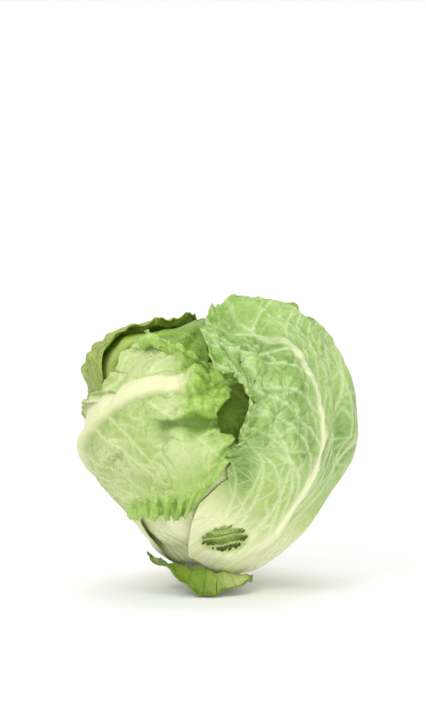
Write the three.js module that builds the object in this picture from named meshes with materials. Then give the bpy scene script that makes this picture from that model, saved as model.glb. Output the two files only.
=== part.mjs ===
// A head of iceberg lettuce, cut from its root and standing on the cut face of its stem.
// Millimetres, +Z up, the front is -Y, and the origin is the centre of the cut face.
//
// The head is a ball of leaves. Each leaf is a thin shell that grows from the stem at the bottom, runs
// up along its midrib and lies on whatever leaves are already under it, so the ball is built outwards,
// one leaf at a time, from the packed heart to the loose wrapper leaves.
import * as THREE from "three";

// Driving dimensions of the head.
const HEART_RADIUS = 57; // the packed heart, at its widest
const HEART_HALF_HEIGHT = 47; // of the packed heart
const HEART_SHOULDER = 0.22; // how much fuller than an ellipsoid its upper half is, as a share of its radius
const HEART_HOLLOW = 11; // depth of the hollow at the front, where the wrappers gape
const STEM_RADIUS = 17; // the cut face
const STEM_CHAMFER = 1.5; // knife-worn edge of the cut face
const STEM_STUB = 8; // how far the cut stem stands out below the leaves
const STEM_CLEARANCE = 0.8; // between the stem and whatever grows round it
const WRAP_DEPTH = 38; // about how far the leaves build out below the heart
const BLADE_THICKNESS = 1.1; // a leaf away from its midrib
const LEAF_GAP = 2.2; // air between a leaf and the next one out
const RIB_HEIGHT = 2.6; // how much thicker the midrib is than the blade, at the stem
const RIB_HALF_WIDTH = 12; // of the midrib
const OVERHANG = 8; // how far past a leaf's edge the next leaf out stays up
const SETTLING = 22; // over how far it then comes down again
const CLASP = 0.42; // a leaf's width at its base, as a share of its full width
const WIDEST = 0.55; // where along a leaf it is widest
const TIP_NARROWING = 0.88; // how far a leaf closes in to its tip: 1 would make it a point
const TIP_ROUNDING = 0.18; // how much shorter a leaf is at its sides than at its middle
const MARGIN_START = 0.55; // how far out from its middle a leaf's margin starts to lift
const FALLEN_REACH = 28; // how far the fallen base leaf runs out from the stem
const FALLEN_LEFT_ROUNDING = 0.15; // how much shorter it is at its left side than at its tip
const FALLEN_RIGHT_ROUNDING = 0.5; // and at its right side
const FALLEN_DROP = 0.5; // how far below the leaves of the ball it hangs from the stem
const FALLEN_LEFT_LIFT = 0.75; // how far its left side stands up under the ball, as a share of the room
const FALLEN_RIGHT_LIFT = 0.6; // and its right side
const FALLEN_AZIMUTH = -8; // the way it points, in degrees from the front
const FALLEN_HALF_ANGLE = 60; // how far round the stem it reaches to either side, in degrees
const GROUND_GAP = 0.4; // air under it, so the head stands on its stem

const DEGREES = Math.PI / 180;
const STEM_CONE = Math.atan(STEM_RADIUS / (HEART_HALF_HEIGHT + WRAP_DEPTH)); // half angle to the middle
const COARSE_GRID = 16; // faces across and along a leaf that others cover
const FINE_GRID = 18; // and on a wrapper leaf
const RIB_STEPS = 48; // steps along a midrib when a leaf is looked up
const UNDERSIDE_STEPS = 5; // of finding how high the underside of the ball is
const RIB_ROOM = 1.8; // how much wider than the midrib the room kept for it is

const LEAF_GREEN = 0xa9c56b;
const HEART_GREEN = 0x8fb04a;
const STEM_CREAM = 0xe4dfba;

// The leaves in the order in which they lie on each other, innermost first. Angles are in degrees.
// base and tip are [polar, azimuth]: polar is counted from the side of the stem at the base, and from
// straight down at the tip, so that 180 is the top of the ball. Azimuth is 0 at the front and 90 on the
// right. A rise above 1 takes the midrib up sooner, a bend above 1 keeps it near its base azimuth for
// longer, and bow swings its middle to the right. left and right are the widths beside the midrib.
// lift raises the leaf's margin off what is below, in millimetres, and a leaf that bridges spans the
// hollow at the front instead of following it.
const LEAVES = [
  { name: "head_leaf_1", base: [13.7, -25], tip: [166, -25], left: 66, right: 66, lift: 1 },
  { name: "head_leaf_2", base: [13.7, 112], tip: [170, 112], left: 68, right: 68, lift: 1 },
  { name: "head_leaf_3", base: [12.7, -110], tip: [182, -110], left: 68, right: 68, lift: 1 },
  { name: "head_leaf_4", base: [11.7, 30], tip: [172, 34], left: 64, right: 66, lift: 1.5 },
  { name: "head_leaf_5", base: [9.7, 165], tip: [188, 165], left: 70, right: 68, lift: 1.5 },
  { name: "head_leaf_6", base: [7.7, -64], tip: [176, -70], left: 64, right: 60, lift: 1.5 },
  { name: "head_leaf_7", base: [6.7, 84], tip: [180, 94], left: 62, right: 68, lift: 1.5 },
  { name: "back_left_wrapper", base: [4.7, -142], tip: [166, -128], left: 58, right: 68, lift: 1.5 },
  { name: "front_base_leaf", base: [3.7, -10], tip: [94, -30], bow: -8, left: 48, right: 50, lift: 1.5 },
  { name: "far_right_wrapper", base: [3.7, 98], tip: [160, 98], left: 58, right: 60, lift: 1.5 },
  { name: "back_right_wrapper", base: [2.7, 156], tip: [162, 158], left: 62, right: 60, lift: 2 },
  {
    name: "left_wrapper",
    base: [2.7, -126],
    tip: [116, 18],
    rise: 2.3,
    bend: 1.5,
    left: 34,
    right: 54,
    lift: 2.5,
    bridges: true,
  },
  {
    name: "right_wrapper",
    base: [1.7, 24],
    tip: [166, 16],
    bow: 34,
    left: 46,
    right: 58,
    lift: 2.5,
    bridges: true,
  },
];

// The hollow at the front, where the wrapper leaves gape: its middle, and how far it spreads.
const HOLLOW_AT = direction(122, -4);
const HOLLOW_SPREAD = 17 * DEGREES;

// Where the heart is fuller or flatter than a ball: its middle, how much, and how far it spreads.
const BULGES = [
  { at: direction(128, -84), rise: 11, spread: 22 * DEGREES },
  { at: direction(151, 72), rise: 8, spread: 15 * DEGREES },
  { at: direction(58, -90), rise: -4, spread: 22 * DEGREES },
];

// The unit vector from the middle of the ball at a polar and an azimuth angle, in degrees.
function direction(polar, azimuth) {
  const p = polar * DEGREES;
  const a = azimuth * DEGREES;
  return new THREE.Vector3(Math.sin(p) * Math.sin(a), -Math.sin(p) * Math.cos(a), -Math.cos(p));
}

// 0 up to low, 1 from high, and a smooth climb between them.
function climb(x, low, high) {
  return THREE.MathUtils.smoothstep(x, low, high);
}

// How deep the front hollow is along a direction.
function hollowDepth(toward) {
  return HEART_HOLLOW * Math.exp(-((toward.angleTo(HOLLOW_AT) / HOLLOW_SPREAD) ** 2));
}

// The heart's surface along a direction: a slightly flattened ball with full shoulders.
function heartRadius(toward) {
  const level = Math.hypot(toward.x, toward.y);
  const ball = 1 / Math.hypot(level / HEART_RADIUS, toward.z / HEART_HALF_HEIGHT);
  let radius = ball * (1 + HEART_SHOULDER * (2 * level * Math.max(0, toward.z)) ** 2);
  for (const { at, rise, spread } of BULGES) radius += rise * Math.exp(-((toward.angleTo(at) / spread) ** 2));
  return radius - hollowDepth(toward);
}

// The course of a leaf's midrib over the unit ball, u running from 0 at its base to 1 at its tip.
function midribAt({ base, tip, rise = 1, bend = 1, bow = 0 }, u) {
  const start = STEM_CONE / DEGREES + base[0];
  const polar = start + (tip[0] - start) * (1 - (1 - u) ** rise);
  const azimuth = base[1] + (tip[1] - base[1]) * u ** bend + bow * Math.sin(Math.PI * u);
  return direction(polar, azimuth);
}

// A leaf's midrib as a row of even steps: its place on the unit ball, the way along it and the way
// across it, to the right as seen from outside.
function midrib(leaf) {
  const course = new THREE.CatmullRomCurve3(
    Array.from({ length: RIB_STEPS + 1 }, (_, i) => midribAt(leaf, i / RIB_STEPS)),
  );
  const places = course.getSpacedPoints(RIB_STEPS).map((place) => place.normalize());
  return places.map((at, i) => {
    const before = places[Math.max(i - 1, 0)];
    const after = places[Math.min(i + 1, RIB_STEPS)];
    const along = after.clone().sub(before);
    along.addScaledVector(at, -along.dot(at)).normalize();
    return { at, along, across: along.clone().cross(at) };
  });
}

// A leaf is narrow where it clasps the stem, widest past its middle and rounded at its tip.
function halfWidth(leaf, s, side) {
  const full = (side < 0 ? leaf.left : leaf.right) * DEGREES;
  const opening = CLASP + (1 - CLASP) * Math.sin((Math.PI / 2) * Math.min(1, s / WIDEST));
  const nearTip = TIP_NARROWING * Math.max(0, (s - WIDEST) / (1 - WIDEST)) ** 2;
  return full * opening * Math.sqrt(1 - nearTip * nearTip);
}

// The place on the unit ball of a point of the leaf: t runs from -1 to 1 across, s from 0 to 1 along.
function onBall(leaf, t, s) {
  const step = Math.min(s * RIB_STEPS, RIB_STEPS - 1e-6);
  const i = Math.floor(step);
  const a = leaf.rib[i];
  const b = leaf.rib[i + 1];
  const at = a.at.clone().lerp(b.at, step - i).normalize();
  const across = a.across.clone().lerp(b.across, step - i).normalize();
  const angle = t * halfWidth(leaf, s, t);
  return at.multiplyScalar(Math.cos(angle)).addScaledVector(across, Math.sin(angle)).normalize();
}

// The other way round: where a direction falls on the leaf, and how far outside its edge, as an angle.
function onLeaf(leaf, toward) {
  let nearest = 0;
  for (let i = 1; i <= RIB_STEPS; i++)
    if (leaf.rib[i].at.dot(toward) > leaf.rib[nearest].at.dot(toward)) nearest = i;
  const { at, along, across } = leaf.rib[nearest];
  const stepLength = leaf.rib[0].at.angleTo(leaf.rib[1].at);
  const ahead = Math.atan2(toward.dot(along), toward.dot(at));
  const s = nearest / RIB_STEPS + ahead / (stepLength * RIB_STEPS);
  const sideways = Math.asin(THREE.MathUtils.clamp(toward.dot(across), -1, 1));
  const width = halfWidth(leaf, THREE.MathUtils.clamp(s, 0, 1), sideways);
  const t = THREE.MathUtils.clamp(sideways / width, -1, 1);
  const length = stepLength * RIB_STEPS;
  const pastSide = Math.max(0, Math.abs(sideways) - width);
  const pastTip = Math.max(0, s - (1 - TIP_ROUNDING * t * t)) * length;
  const pastBase = Math.max(0, -s) * length;
  return { t, s: THREE.MathUtils.clamp(s, 0, 1), outside: Math.hypot(pastSide, pastTip, pastBase) };
}

// How much thicker than the blade the leaf is here: a ridge along the midrib that fades to the tip.
// Room is kept for it over a wider strip than it fills.
function ribHeight(leaf, t, s, room = 1) {
  const aside = Math.abs(t) * halfWidth(leaf, s, t) * HEART_RADIUS;
  return RIB_HEIGHT * (1 - s) ** 1.5 * Math.exp(-((aside / (RIB_HALF_WIDTH * room)) ** 2));
}

// How far the leaf stands off whatever is below it: its margin lifts, and some leaves span the hollow.
function standOff(leaf, toward, t, s) {
  const edge = Math.max(Math.abs(t), s);
  const margin = leaf.lift * climb(edge, MARGIN_START, 1) * climb(s, 0.15, 0.5);
  return margin + (leaf.bridges ? hollowDepth(toward) : 0);
}

// The surface that a leaf comes to lie on: the heart, and every leaf that is already there.
function restingRadius(laid, toward) {
  let radius = heartRadius(toward) + LEAF_GAP;
  for (const leaf of laid) {
    const { t, s, outside } = onLeaf(leaf, toward);
    const thickness = BLADE_THICKNESS + ribHeight(leaf, t, s, RIB_ROOM);
    const rise = thickness + LEAF_GAP + standOff(leaf, toward, t, s);
    radius += rise * (1 - climb(outside * HEART_RADIUS, OVERHANG, OVERHANG + SETTLING));
  }
  return radius;
}

function material(colour, roughness) {
  return new THREE.MeshStandardMaterial({ color: colour, roughness, metalness: 0 });
}

// A closed sheet one face thick, as a flat block from -1 to 1 across, 0 to 1 along and -0.5 to 0.5
// through, with each corner then moved to its place by bend(t, s, isOuter).
function bentSheet(name, faces, bend, colour) {
  const geometry = new THREE.BoxGeometry(2, 1, 1, faces, faces, 1).translate(0, 0.5, 0);
  const corners = geometry.getAttribute("position");
  for (let i = 0; i < corners.count; i++) {
    const place = bend(corners.getX(i), corners.getY(i), corners.getZ(i) > 0);
    corners.setXYZ(i, place.x, place.y, place.z);
  }
  geometry.computeVertexNormals();
  const mesh = new THREE.Mesh(geometry, material(colour, 0.45));
  mesh.name = name;
  return mesh;
}

// One leaf of the ball, lying on the leaves that were laid before it.
function ballLeaf(leaf, laid) {
  leaf.rib = midrib(leaf);
  const bend = (t, along, isOuter) => {
    const s = along * (1 - TIP_ROUNDING * t * t * along * along);
    const toward = onBall(leaf, t, s);
    const under = restingRadius(laid, toward) + standOff(leaf, toward, t, s);
    const thickness = BLADE_THICKNESS + ribHeight(leaf, t, s);
    return toward.multiplyScalar(isOuter ? under + thickness : under);
  };
  const faces = leaf.name.endsWith("wrapper") ? FINE_GRID : COARSE_GRID;
  return bentSheet(leaf.name, faces, bend, LEAF_GREEN);
}

// The packed heart, modelled as one solid.
function heart() {
  const geometry = new THREE.SphereGeometry(1, 28, 18).rotateX(Math.PI / 2);
  const corners = geometry.getAttribute("position");
  const toward = new THREE.Vector3();
  for (let i = 0; i < corners.count; i++) {
    toward.fromBufferAttribute(corners, i).normalize();
    toward.multiplyScalar(heartRadius(toward));
    corners.setXYZ(i, toward.x, toward.y, toward.z);
  }
  const mesh = new THREE.Mesh(geometry, material(HEART_GREEN, 0.5));
  mesh.name = "heart";
  return mesh;
}

// The cut stem: a stub below the leaves, and above it a cone that narrows towards the heart.
function stem(ballHeight) {
  const top = ballHeight - heartRadius(direction(0, 0)) - STEM_CLEARANCE;
  const topRadius = (ballHeight - top) * Math.tan(STEM_CONE) - STEM_CLEARANCE;
  const profile = [
    new THREE.Vector2(0, 0),
    new THREE.Vector2(STEM_RADIUS - STEM_CHAMFER, 0),
    new THREE.Vector2(STEM_RADIUS, STEM_CHAMFER),
    new THREE.Vector2(STEM_RADIUS, STEM_STUB - STEM_CLEARANCE),
    new THREE.Vector2(Math.min(topRadius, STEM_RADIUS), top),
    new THREE.Vector2(0, top),
  ];
  const geometry = new THREE.LatheGeometry(profile, 32).rotateX(Math.PI / 2);
  const mesh = new THREE.Mesh(geometry, material(STEM_CREAM, 0.6));
  mesh.name = "cut_stem";
  return mesh;
}

// How high the underside of the ball of leaves is, at a distance from the axis and an azimuth.
function undersideHeight(ballHeight, distance, azimuth) {
  let polar = 0;
  let radius = ballHeight;
  for (let i = 0; i < UNDERSIDE_STEPS; i++) {
    polar = Math.asin(distance / radius);
    radius = restingRadius(LEAVES, direction(polar / DEGREES, azimuth));
  }
  return ballHeight - radius * Math.cos(polar);
}

// The lowest wrapper leaf has come away from the ball. It hangs from the stem at the front, its tip
// touches the ground and its sides stand up under the ball, the left side higher.
function fallenLeaf(ballHeight) {
  const attach = STEM_STUB - FALLEN_DROP - BLADE_THICKNESS;
  const bend = (t, s, isOuter) => {
    const rounding = t < 0 ? FALLEN_LEFT_ROUNDING : FALLEN_RIGHT_ROUNDING;
    const reach = FALLEN_REACH * (1 - rounding * Math.abs(t) ** 1.5);
    const radius = STEM_RADIUS + STEM_CLEARANCE + reach * s;
    const azimuth = FALLEN_AZIMUTH + t * FALLEN_HALF_ANGLE;
    const room = undersideHeight(ballHeight, radius, azimuth) - BLADE_THICKNESS - GROUND_GAP;
    const lift = FALLEN_LEFT_LIFT * climb(-t, 0.1, 1) + FALLEN_RIGHT_LIFT * climb(t, 0.1, 1);
    const height = attach + (GROUND_GAP + lift * room - attach) * s + (isOuter ? 0 : BLADE_THICKNESS);
    const angle = azimuth * DEGREES;
    return new THREE.Vector3(radius * Math.sin(angle), -radius * Math.cos(angle), height);
  };
  return bentSheet("fallen_base_leaf", COARSE_GRID, bend, LEAF_GREEN);
}

const ball = new THREE.Group();
ball.add(heart());
LEAVES.forEach((leaf, i) => ball.add(ballLeaf(leaf, LEAVES.slice(0, i))));

// The ball is held up by its stem, so its lowest leaf is one stub above the ground.
ball.position.z = STEM_STUB - new THREE.Box3().setFromObject(ball).min.z;

const head = new THREE.Group();
head.add(stem(ball.position.z), ball, fallenLeaf(ball.position.z));

export default head;
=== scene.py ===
import math

import bpy
import numpy as np
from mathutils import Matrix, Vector, kdtree


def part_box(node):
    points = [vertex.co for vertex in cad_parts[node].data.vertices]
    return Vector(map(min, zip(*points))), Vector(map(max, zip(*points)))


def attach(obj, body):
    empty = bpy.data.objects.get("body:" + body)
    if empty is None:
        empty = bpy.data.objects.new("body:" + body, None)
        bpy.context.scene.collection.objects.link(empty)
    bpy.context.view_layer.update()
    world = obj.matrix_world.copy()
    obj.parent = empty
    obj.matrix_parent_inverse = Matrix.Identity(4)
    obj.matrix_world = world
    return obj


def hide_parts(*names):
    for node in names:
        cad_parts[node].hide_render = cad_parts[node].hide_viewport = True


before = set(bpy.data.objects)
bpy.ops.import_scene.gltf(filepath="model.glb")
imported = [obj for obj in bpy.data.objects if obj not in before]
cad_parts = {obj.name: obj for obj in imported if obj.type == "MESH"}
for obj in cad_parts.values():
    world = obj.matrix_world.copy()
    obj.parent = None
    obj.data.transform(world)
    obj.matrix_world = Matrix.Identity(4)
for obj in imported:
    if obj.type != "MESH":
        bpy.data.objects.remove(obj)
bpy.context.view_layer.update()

# ---------------------------------------------------------------------------------------------------
# The cut stem. The butt of the plant, sliced straight across with a knife: firm, cream-white flesh
# inside a paler rind, browning a little where the milky sap has dried. The head stands on it.
# ---------------------------------------------------------------------------------------------------
MM = 0.001


def deselect_all():
    bpy.ops.object.select_all(action="DESELECT")


def linear(red, green, blue):
    """A colour given the way a colour chart prints it, 0 to 255, as the shader wants it."""
    chart = np.array([red, green, blue]) / 255
    light = np.where(chart <= 0.04045, chart / 12.92, ((chart + 0.055) / 1.055) ** 2.4)
    return (*light.tolist(), 1.0)


def corners_of(piece):
    corners = np.empty(len(piece.data.vertices) * 3)
    piece.data.vertices.foreach_get("co", corners)
    return corners.reshape(-1, 3)


def move_corners(piece, corners):
    piece.data.vertices.foreach_set("co", np.asarray(corners, dtype=np.float32).ravel())
    piece.data.update()


def apply_modifiers(piece):
    deselect_all()
    piece.select_set(True)
    bpy.context.view_layer.objects.active = piece
    for modifier in list(piece.modifiers):
        bpy.ops.object.modifier_apply(modifier=modifier.name)


def put_in_place(piece, name, node, material):
    """Names a finished piece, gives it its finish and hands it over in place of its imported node."""
    deselect_all()
    piece.select_set(True)
    bpy.context.view_layer.objects.active = piece
    bpy.ops.object.transform_apply(location=True, rotation=True, scale=True)
    bpy.ops.object.shade_smooth()
    piece.name = name
    piece.data.name = name
    piece.data.materials.clear()
    piece.data.materials.append(material)
    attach(piece, "root")
    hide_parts(node)


def waves(places, length, seed, count=12):
    """Smooth random relief, about -1 to 1: a sum of waves of about one length through the places."""
    draw = np.random.default_rng(seed)
    places = np.asarray(places, dtype=float)
    relief = np.zeros(places.shape[0])
    for _ in range(count):
        way = draw.normal(size=places.shape[1])
        way *= 2 * math.pi / (length * draw.uniform(0.7, 1.5) * np.linalg.norm(way))
        relief += np.sin(places @ way + draw.uniform(0, 2 * math.pi))
    return relief / (0.7 * count**0.5 * 1.6)


class Nodes:
    """A short hand for laying out a material's nodes."""

    def __init__(self, tree):
        self.tree = tree

    def add(self, kind, **settings):
        node = self.tree.nodes.new(kind)
        inputs = settings.pop("inputs", {})
        for key, value in settings.items():
            setattr(node, key, value)
        for key, value in inputs.items():
            self.feed(node, key, value)
        return node

    def feed(self, node, key, value):
        socket = node.inputs[key]
        if isinstance(value, bpy.types.NodeSocket):
            self.tree.links.new(value, socket)
        else:
            socket.default_value = value

    def mix(self, share, one, other, blend="MIX"):
        node = self.add("ShaderNodeMix", data_type="RGBA", blend_type=blend)
        self.feed(node, 0, share)
        self.feed(node, 6, one)
        self.feed(node, 7, other)
        return node.outputs[2]

    def math(self, operation, one, other=0.0, clamp=False):
        node = self.add("ShaderNodeMath", operation=operation, use_clamp=clamp)
        self.feed(node, 0, one)
        self.feed(node, 1, other)
        return node.outputs[0]

    def spread(self, value, low, high, to_low=0.0, to_high=1.0):
        node = self.add("ShaderNodeMapRange", interpolation_type="SMOOTHSTEP")
        for key, each in zip(range(5), (value, low, high, to_low, to_high)):
            self.feed(node, key, each)
        return node.outputs[0]


def new_material(name):
    material = bpy.data.materials.new(name)
    material.use_nodes = True
    material.node_tree.nodes.clear()
    nodes = Nodes(material.node_tree)
    output = nodes.add("ShaderNodeOutputMaterial")
    shader = nodes.add("ShaderNodeBsdfPrincipled")
    nodes.tree.links.new(shader.outputs[0], output.inputs[0])
    return material, nodes, shader


_, stem_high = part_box("cut_stem")
stem_radius = stem_high.x
stem_rise = stem_high.z

deselect_all()
bpy.ops.mesh.primitive_cylinder_add(vertices=96, radius=stem_radius, depth=stem_rise,
                                    end_fill_type="TRIFAN", location=(0, 0, stem_rise / 2))
stem = bpy.context.object
bpy.ops.object.transform_apply(location=True, rotation=True, scale=True)
stem.modifiers.new("finer", "SUBSURF").subdivision_type = "SIMPLE"
stem.modifiers["finer"].levels = 4
stem.modifiers["finer"].render_levels = 4
apply_modifiers(stem)
places = corners_of(stem)
angle = np.arctan2(places[:, 1], places[:, 0])
out = np.hypot(places[:, 0], places[:, 1]) / stem_radius
height = places[:, 2] / stem_rise
ring = np.stack([np.cos(angle), np.sin(angle), height], 1)
narrowing = 1 - 0.16 * np.clip(height - 0.25, 0, 1)
rounding = 1 - 0.09 * np.clip(1 - height * stem_rise / 0.0018, 0, 1) ** 2
ridges = 1 - 0.035 * (0.5 + 0.5 * np.sin(7 * angle + 0.8)) - 0.02 * (0.5 + 0.5 * waves(ring * 10, 4, 11))
places[:, :2] *= (narrowing * rounding * (1 + (ridges - 1) * out))[:, None]
move_corners(stem, places)

stem_flesh, nodes, shader = new_material("cut_stem_flesh")
where = nodes.add("ShaderNodeTexCoord").outputs["Object"]
parts_of_place = nodes.add("ShaderNodeSeparateXYZ", inputs={0: where}).outputs
x_squared = nodes.math("MULTIPLY", parts_of_place[0], parts_of_place[0])
y_squared = nodes.math("MULTIPLY", parts_of_place[1], parts_of_place[1])
from_middle = nodes.math("SQRT", nodes.math("ADD", x_squared, y_squared))
grain = nodes.add("ShaderNodeTexNoise", inputs={"Vector": where, "Scale": 420.0, "Detail": 5.0}).outputs[0]
blotch = nodes.add("ShaderNodeTexNoise", inputs={"Vector": where, "Scale": 90.0, "Detail": 3.0}).outputs[0]
flesh = nodes.mix(grain, linear(226, 222, 184), linear(205, 206, 150))
rind = nodes.spread(nodes.math("ADD", from_middle, nodes.math("MULTIPLY", blotch, 0.004)), 0.012, 0.019)
flesh = nodes.mix(nodes.math("MULTIPLY", rind, 0.7), flesh, linear(198, 204, 146))
dried = nodes.math("MULTIPLY", nodes.spread(blotch, 0.5, 0.7), nodes.spread(parts_of_place[2], 0.004, 0.0))
nodes.feed(shader, "Base Color", nodes.mix(nodes.math("MULTIPLY", dried, 0.6), flesh, linear(176, 142, 92)))
nodes.feed(shader, "Roughness", nodes.spread(grain, 0.3, 0.7, 0.38, 0.6))
nodes.feed(shader, "Subsurface Weight", 0.2)
nodes.feed(shader, "Subsurface Radius", (1.0, 0.9, 0.5))
nodes.feed(shader, "Subsurface Scale", 0.003)
relief = nodes.add("ShaderNodeBump", inputs={"Strength": 0.4, "Distance": 0.0006, "Height": grain})
nodes.feed(shader, "Normal", relief.outputs[0])
put_in_place(stem, "stem", "cut_stem", stem_flesh)

# ---------------------------------------------------------------------------------------------------
# The heart. The imported inner leaves, folded over each other so tightly that they are one firm ball.
# Only a little of it shows, as deep green folds where the leaves over it stand apart. The deep green is
# partly its own colour and partly painted shade of those hollows, and painted shade darkens the creases of
# the folds.
# ---------------------------------------------------------------------------------------------------
HOLLOW_DEPTH = 11
HOLLOW_SPREAD = 17
HEART_SHOULDER = 0.22
HEART_RADIUS = 57
HEART_HALF_HEIGHT = 47

heart_low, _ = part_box("heart")
BALL_MIDDLE = Vector((0, 0, heart_low.z + HEART_HALF_HEIGHT * MM))


def direction(polar, azimuth):
    """The way out from the middle of the ball: polar 0 is down at the stem, azimuth 0 is the front."""
    polar, azimuth = np.radians(polar), np.radians(azimuth)
    return np.stack([np.sin(polar) * np.sin(azimuth), -np.sin(polar) * np.cos(azimuth), -np.cos(polar)], -1)


def climb(value, low, high):
    share = np.clip((value - low) / (high - low), 0, 1)
    return share * share * (3 - 2 * share)


HOLLOW_AT = direction(122, -4)
BULGES = ((direction(128, -84), 11, 22), (direction(151, 72), 8, 15), (direction(58, -90), -4, 22))


def apart_from(toward, at):
    return np.degrees(np.arccos(np.clip(toward @ at, -1, 1)))


def hollow_depth(toward):
    return HOLLOW_DEPTH * np.exp(-((apart_from(toward, HOLLOW_AT) / HOLLOW_SPREAD) ** 2))


def heart_radius(toward):
    """How far out the heart reaches, in millimetres, with the slow swells that every leaf follows."""
    level = np.hypot(toward[:, 0], toward[:, 1])
    ball = 1 / np.hypot(level / HEART_RADIUS, toward[:, 2] / HEART_HALF_HEIGHT)
    radius = ball * (1 + HEART_SHOULDER * (2 * level * np.maximum(0, toward[:, 2])) ** 2)
    for at, rise, spread in BULGES:
        radius += rise * np.exp(-((apart_from(toward, at) / spread) ** 2))
    return radius - hollow_depth(toward) + 0.8 * waves(toward * HEART_RADIUS, 52, 5)


deselect_all()
bpy.ops.mesh.primitive_uv_sphere_add(segments=160, ring_count=110, radius=1)
heart = bpy.context.object
toward = corners_of(heart)
toward /= np.linalg.norm(toward, axis=1)[:, None]
folds = 0.9 * waves(toward * 60, 16, 21) + 0.5 * waves(toward * 60, 7, 22) - 1.6
move_corners(heart, toward * (heart_radius(toward) + folds)[:, None] * MM + np.array(BALL_MIDDLE))


# A leaf's skin: what every leaf of the head shares. A mask on the mesh says where the midrib, the side
# veins and the margin are and where painted shade darkens the creases and recesses, and the leaf's own
# flat map carries the finest net of veins.
leaf_skin = bpy.data.node_groups.new("leaf_skin", "ShaderNodeTree")
for label, kind in (("Rib", "Color"), ("Vein", "Color"), ("Pale", "Color"), ("Green", "Color"),
                    ("Low", "Color"), ("Margin", "Color"), ("Crease shade", "Color"),
                    ("Mottle", "Float"), ("Net", "Float")):
    leaf_skin.interface.new_socket(label, in_out="INPUT", socket_type="NodeSocket" + kind)
for label, kind in (("Colour", "Color"), ("Roughness", "Float"), ("Height", "Float")):
    leaf_skin.interface.new_socket(label, in_out="OUTPUT", socket_type="NodeSocket" + kind)
nodes = Nodes(leaf_skin)
given = nodes.add("NodeGroupInput").outputs
mask = nodes.add("ShaderNodeAttribute", attribute_name="leaf_mask")
rib, vein, margin = nodes.add("ShaderNodeSeparateColor", inputs={0: mask.outputs["Color"]}).outputs
crease_shade = nodes.math("SUBTRACT", 1.0, mask.outputs["Alpha"])
flat = nodes.add("ShaderNodeUVMap", uv_map="leaf_flat").outputs[0]
where = nodes.add("ShaderNodeTexCoord").outputs["Object"]
bend = nodes.add("ShaderNodeTexNoise",
                 inputs={"Vector": flat, "Scale": 16.0, "Detail": 3.0}).outputs["Color"]
bent = nodes.add("ShaderNodeVectorMath", operation="MULTIPLY_ADD",
                 inputs={0: bend, 1: (0.05, 0.05, 0.0), 2: flat}).outputs[0]
net_edge = nodes.add("ShaderNodeTexVoronoi", feature="DISTANCE_TO_EDGE",
                     inputs={"Vector": bent, "Scale": 24.0}).outputs[0]
fine_edge = nodes.add("ShaderNodeTexVoronoi", feature="DISTANCE_TO_EDGE",
                      inputs={"Vector": bent, "Scale": 60.0}).outputs[0]
net = nodes.spread(net_edge, 0.09, 0.0)
fine = nodes.spread(fine_edge, 0.16, 0.0)
patch = nodes.add("ShaderNodeTexNoise", inputs={"Vector": where, "Scale": 24.0, "Detail": 5.0}).outputs[0]
fleck = nodes.add("ShaderNodeTexNoise", inputs={"Vector": where, "Scale": 260.0, "Detail": 5.0}).outputs[0]
wrinkle = nodes.add("ShaderNodeTexNoise", noise_type="RIDGED_MULTIFRACTAL",
                    inputs={"Vector": where, "Scale": 95.0, "Detail": 3.0, "Roughness": 0.5}).outputs[0]
height_up = nodes.add("ShaderNodeSeparateXYZ", inputs={0: flat}).outputs[1]
blade_share = nodes.math("ADD", nodes.spread(patch, 0.38, 0.62), nodes.math("MULTIPLY", given["Mottle"],
                         nodes.math("SUBTRACT", fleck, 0.5)), clamp=True)
blade = nodes.mix(blade_share, given["Pale"], given["Green"])
patchy = nodes.math("MULTIPLY", nodes.math("SUBTRACT", patch, 0.5), 0.5)
low_share = nodes.spread(nodes.math("ADD", height_up, patchy), 0.8, 0.25)
blade = nodes.mix(low_share, blade, given["Low"])
blade = nodes.mix(nodes.math("MULTIPLY", margin, 0.85), blade, given["Margin"])
strands = nodes.math("ADD", nodes.math("MULTIPLY", net, 0.34), nodes.math("MULTIPLY", fine, 0.18),
                     clamp=True)
blade = nodes.mix(nodes.math("MULTIPLY", strands, given["Net"]), blade, given["Vein"])
blade = nodes.mix(nodes.math("MULTIPLY", vein, 0.9), blade, given["Vein"])
# Painted shade: the creases and recesses that the mask marks are darkened toward the crease colour.
blade = nodes.mix(nodes.math("MULTIPLY", crease_shade, 0.75), blade, given["Crease shade"])
drawn_out = nodes.add("ShaderNodeVectorMath", operation="MULTIPLY",
                      inputs={0: flat, 1: (60.0, 3.0, 0.0)}).outputs[0]
streak = nodes.add("ShaderNodeTexNoise",
                   inputs={"Vector": drawn_out, "Scale": 1.0, "Detail": 3.0}).outputs[0]
rib_colour = nodes.mix(nodes.spread(streak, 0.4, 0.7, 0.0, 0.45), given["Rib"], given["Low"])
colour = nodes.mix(rib, blade, rib_colour)
rough = nodes.spread(fleck, 0.3, 0.7, 0.32, 0.5)
height = nodes.math("ADD", nodes.math("MULTIPLY", net, 0.35), nodes.math("MULTIPLY", fine, 0.22))
height = nodes.math("ADD", height, nodes.math("MULTIPLY", wrinkle, 0.45))
blade_height = nodes.math("MULTIPLY", height, nodes.math("SUBTRACT", 1.0, rib))
grain_height = nodes.math("ADD", fleck, nodes.math("MULTIPLY", streak, 0.8))
height = nodes.math("ADD", blade_height, nodes.math("MULTIPLY", grain_height, 0.3))
given_out = nodes.add("NodeGroupOutput")
for label, value in (("Colour", colour), ("Roughness", rough), ("Height", height)):
    nodes.feed(given_out, label, value)


# The crease colour of each leaf is painted shade: the creases and recesses that its mask marks take it.
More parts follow.
